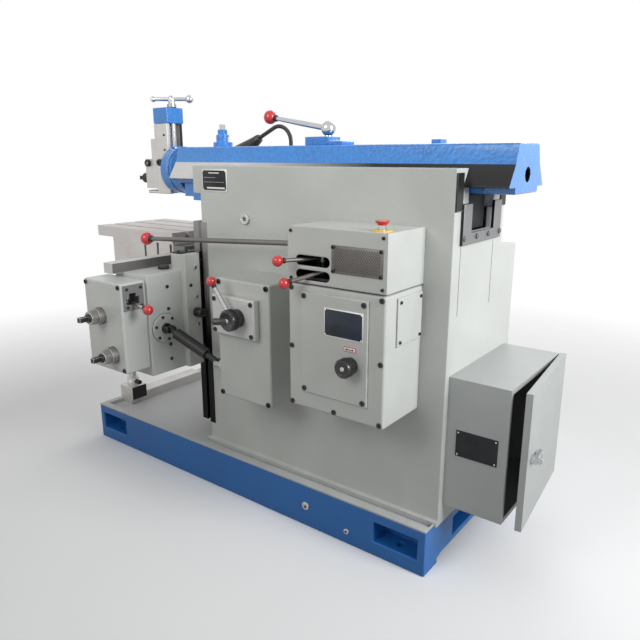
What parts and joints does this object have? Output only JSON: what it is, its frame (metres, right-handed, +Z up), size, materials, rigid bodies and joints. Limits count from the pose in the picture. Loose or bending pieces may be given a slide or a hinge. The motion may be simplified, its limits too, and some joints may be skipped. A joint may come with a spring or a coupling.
{
  "type": "metal shaper",
  "caption": "Metal shaping machine with a ram sliding in dovetail ways, a swivelling tool head, a box table on a cross rail, gearboxes, levers and an electric cabinet on a tray base",
  "frame": {"origin": "middle of the base's underside, on the floor", "axes": "+Z up, +X from the tool head to the cabinet along the ram, -Y towards the operator"},
  "size_m": [2.0813, 1.15, 1.5517],
  "materials": {
    "base_blue": "satin blue enamel",
    "tray_grey": "speckled grey paint",
    "steel": "turned steel",
    "grey_enamel": "warm light grey enamel",
    "way_iron": "scraped dark iron",
    "black_oxide": "black oxide",
    "plate_dark": "dark sheet plate",
    "cabinet_grey": "grey powder coat",
    "panel_zinc": "zinc plated sheet with components",
    "chrome": "polished chrome",
    "blue_enamel": "glossy hammered blue enamel",
    "machined_iron": "milled bare iron",
    "black_plastic": "black knob plastic",
    "red_plastic": "red plastic",
    "bronze": "bronze",
    "motor_grey": "motor grey paint",
    "belt_rubber": "black rubber",
    "lamp_black": "black enamel"
  },
  "bodies": {
    "machine": {"base": "base_blue", "base_tray": "tray_grey", "plugs": "steel", "column": "grey_enamel", "column_ways": "way_iron", "ram_gib": "way_iron", "rear_way_frame": "black_oxide", "gearbox_case": "grey_enamel", "gearbox_covers": "grey_enamel", "control_box": "grey_enamel", "feed_box": "grey_enamel", "feed_plate": "grey_enamel", "case_screws": "black_oxide", "info_plates": "plate_dark", "cabinet": "cabinet_grey", "cabinet_panel": "panel_zinc", "elevating_screw": "steel", "support_guide": "machined_iron", "rocker_pivot": "way_iron", "motor": "motor_grey", "drive_belts": "belt_rubber", "lamp_arm": "lamp_black", "lamp_head": "lamp_black"},
    "ram_body": {"ram": "blue_enamel", "ram_top_fittings": "blue_enamel", "ram_brackets": "blue_enamel"},
    "ram_position_body": {"ram_position_shaft": "steel"},
    "ram_lever_body": {"ram_lever": "chrome"},
    "swivel_body": {"swivel_head": "blue_enamel"},
    "slide_body": {"tool_slide": "machined_iron", "slide_bracket": "blue_enamel", "clapper_box": "machined_iron"},
    "feed_handle_body": {"tool_feed_handle": "chrome"},
    "clapper_body": {"clapper": "machined_iron", "tool_post": "black_oxide"},
    "rail_body": {"cross_rail": "grey_enamel", "rail_gearbox": "grey_enamel", "rail_fittings": "way_iron"},
    "gate_lever_body": {"gate_lever": "chrome"},
    "cross_screw_body": {"cross_feed_screw": "steel"},
    "elevating_shaft_body": {"elevating_shaft": "steel"},
    "table_body": {"saddle": "way_iron", "table": "machined_iron"},
    "support_foot_body": {"support_foot": "steel"},
    "feed_sleeve_body": {"feed_sleeve": "black_oxide"},
    "feed_shaft_body": {"feed_shaft": "black_oxide"},
    "clutch_lever_body": {"clutch_lever": "steel"},
    "shift_upper_body": {"shift_lever_upper": "steel"},
    "shift_lower_body": {"shift_lever_lower": "steel"},
    "feed_lever_body": {"feed_lever": "black_plastic"},
    "stroke_knob_body": {"stroke_knob": "black_plastic"},
    "estop_body": {"estop_button": "red_plastic"},
    "door_body": {"cabinet_door": "cabinet_grey"},
    "door_handle_body": {"door_handle": "chrome"},
    "rocker_body": {"rocker_arm": "way_iron"},
    "crank_block_body": {"crank_block": "bronze"},
    "bull_gear_body": {"bull_gear": "steel"},
    "pinion_body": {"pinion_shaft": "steel"},
    "input_body": {"input_shaft": "steel"},
    "motor_pulley_body": {"motor_pulley": "way_iron"}
  },
  "joints": [
    {"name": "ram_slide", "type": "slide", "parent": "machine", "child": "ram_body", "axis": [-1, 0, 0], "range_m": [0, 0.5]},
    {"name": "ram_position_turn", "type": "hinge", "parent": "ram_body", "child": "ram_position_body", "pos_m": [-0.228, -0.071, 1.4], "axis": [0, 0, 1], "continuous": true},
    {"name": "ram_lever_turn", "type": "hinge", "parent": "ram_body", "child": "ram_lever_body", "pos_m": [0.295, -0.071, 1.396], "axis": [0, 0, 1], "range_deg": [0, 55]},
    {"name": "head_swivel", "type": "hinge", "parent": "ram_body", "child": "swivel_body", "pos_m": [-0.46, -0.071, 1.247], "axis": [1, 0, 0], "range_deg": [-60, 60]},
    {"name": "tool_slide_feed", "type": "slide", "parent": "swivel_body", "child": "slide_body", "axis": [0, 0, 1], "range_m": [-0.09, 0.03]},
    {"name": "feed_handle_turn", "type": "hinge", "parent": "slide_body", "child": "feed_handle_body", "pos_m": [-0.5253, -0.071, 1.535], "axis": [0, 0, 1], "continuous": true},
    {"name": "clapper_lift", "type": "hinge", "parent": "slide_body", "child": "clapper_body", "pos_m": [-0.6493, -0.071, 1.275], "axis": [0, 1, 0], "range_deg": [0, 25]},
    {"name": "rail_elevation", "type": "slide", "parent": "machine", "child": "rail_body", "axis": [0, 0, 1], "range_m": [-0.2, 0.015]},
    {"name": "elevating_shaft_turn", "type": "hinge", "parent": "rail_body", "child": "elevating_shaft_body", "pos_m": [-0.276, -0.6, 0.599], "axis": [0, 1, 0], "continuous": true},
    {"name": "gate_lever_swing", "type": "hinge", "parent": "rail_body", "child": "gate_lever_body", "pos_m": [-0.235, -0.57, 0.805], "axis": [0, 0, 1], "range_deg": [-22, 22]},
    {"name": "table_cross", "type": "slide", "parent": "rail_body", "child": "table_body", "axis": [0, 1, 0], "range_m": [-0.035, 0.365]},
    {"name": "cross_screw_turn", "type": "hinge", "parent": "rail_body", "child": "cross_screw_body", "pos_m": [-0.336, -0.6, 0.738], "axis": [0, 1, 0], "continuous": true},
    {"name": "support_foot_follow", "type": "slide", "parent": "machine", "child": "support_foot_body", "axis": [0, 1, 0], "range_m": [-0.035, 0.365]},
    {"name": "feed_sleeve_tilt", "type": "hinge", "parent": "rail_body", "child": "feed_sleeve_body", "pos_m": [-0.166, -0.44, 0.676], "axis": [-0.2585, 0.966, 0], "range_deg": [-52.5, 4.5]},
    {"name": "feed_shaft_tilt", "type": "hinge", "parent": "machine", "child": "feed_shaft_body", "pos_m": [0.032, -0.387, 0.57], "axis": [-0.2585, 0.966, 0], "range_deg": [-52.5, 4.5]},
    {"name": "clutch_lever_swing", "type": "hinge", "parent": "machine", "child": "clutch_lever_body", "pos_m": [0.47, -0.355, 1.039], "axis": [0, 0, 1], "range_deg": [0, 18]},
    {"name": "shift_upper_swing", "type": "hinge", "parent": "machine", "child": "shift_upper_body", "pos_m": [0.52, -0.4, 1.006], "axis": [0, 0, 1], "range_deg": [0, 60]},
    {"name": "shift_lower_swing", "type": "hinge", "parent": "machine", "child": "shift_lower_body", "pos_m": [0.575, -0.4, 0.984], "axis": [0, 0, 1], "range_deg": [-12, 27]},
    {"name": "feed_lever_turn", "type": "hinge", "parent": "machine", "child": "feed_lever_body", "pos_m": [0.203, -0.47, 0.78], "axis": [0, 1, 0], "range_deg": [-25, 40]},
    {"name": "stroke_knob_turn", "type": "hinge", "parent": "machine", "child": "stroke_knob_body", "pos_m": [0.675, -0.49, 0.717], "axis": [0, 1, 0], "continuous": true},
    {"name": "estop_press", "type": "slide", "parent": "machine", "child": "estop_body", "axis": [0, 0, -1], "range_m": [0, 0.006], "stiffness_N_per_m": 1500},
    {"name": "door_swing", "type": "hinge", "parent": "machine", "child": "door_body", "pos_m": [1.069, 0.221, 0.4385], "axis": [0, 0, 1], "range_deg": [-5, 105]},
    {"name": "door_handle_turn", "type": "hinge", "parent": "door_body", "child": "door_handle_body", "pos_m": [1.1243, -0.1817, 0.4385], "axis": [0.9962, 0.0872, 0], "range_deg": [0, 90]},
    {"name": "rocker_swing", "type": "hinge", "parent": "machine", "child": "rocker_body", "pos_m": [0.35, -0.071, 0.24], "axis": [0, 1, 0], "range_deg": [-32.6, 0.3]},
    {"name": "crank_block_slide", "type": "slide", "parent": "rocker_body", "child": "crank_block_body", "axis": [0.2778, 0, 0.9606], "range_m": [-0.09, 0.12]},
    {"name": "bull_gear_turn", "type": "hinge", "parent": "machine", "child": "bull_gear_body", "pos_m": [0.35, -0.17, 0.64], "axis": [0, 1, 0], "continuous": true},
    {"name": "pinion_turn", "type": "hinge", "parent": "machine", "child": "pinion_body", "pos_m": [0.58492, -0.2, 0.7255], "axis": [0, 1, 0], "continuous": true},
    {"name": "input_turn", "type": "hinge", "parent": "machine", "child": "input_body", "pos_m": [0.71648, 0, 0.67762], "axis": [0, 1, 0], "continuous": true},
    {"name": "motor_pulley_turn", "type": "hinge", "parent": "machine", "child": "motor_pulley_body", "pos_m": [0.59, 0.17, 0.282], "axis": [0, 1, 0], "continuous": true}
  ],
  "couplings": [
    {"joint": "rocker_swing", "follows": "ram_slide", "rad_per_m": -1.1259},
    {"joint": "feed_handle_turn", "follows": "tool_slide_feed", "rad_per_m": -1047.2},
    {"joint": "elevating_shaft_turn", "follows": "rail_elevation", "rad_per_m": 1256.6},
    {"joint": "cross_screw_turn", "follows": "table_cross", "rad_per_m": 1047.2},
    {"joint": "support_foot_follow", "follows": "table_cross", "ratio": 1},
    {"joint": "feed_sleeve_tilt", "follows": "rail_elevation", "rad_per_m": 4.529},
    {"joint": "feed_shaft_tilt", "follows": "rail_elevation", "rad_per_m": 4.529},
    {"joint": "pinion_turn", "follows": "bull_gear_turn", "ratio": -4},
    {"joint": "input_turn", "follows": "bull_gear_turn", "ratio": 10},
    {"joint": "motor_pulley_turn", "follows": "bull_gear_turn", "ratio": 20}
  ]
}
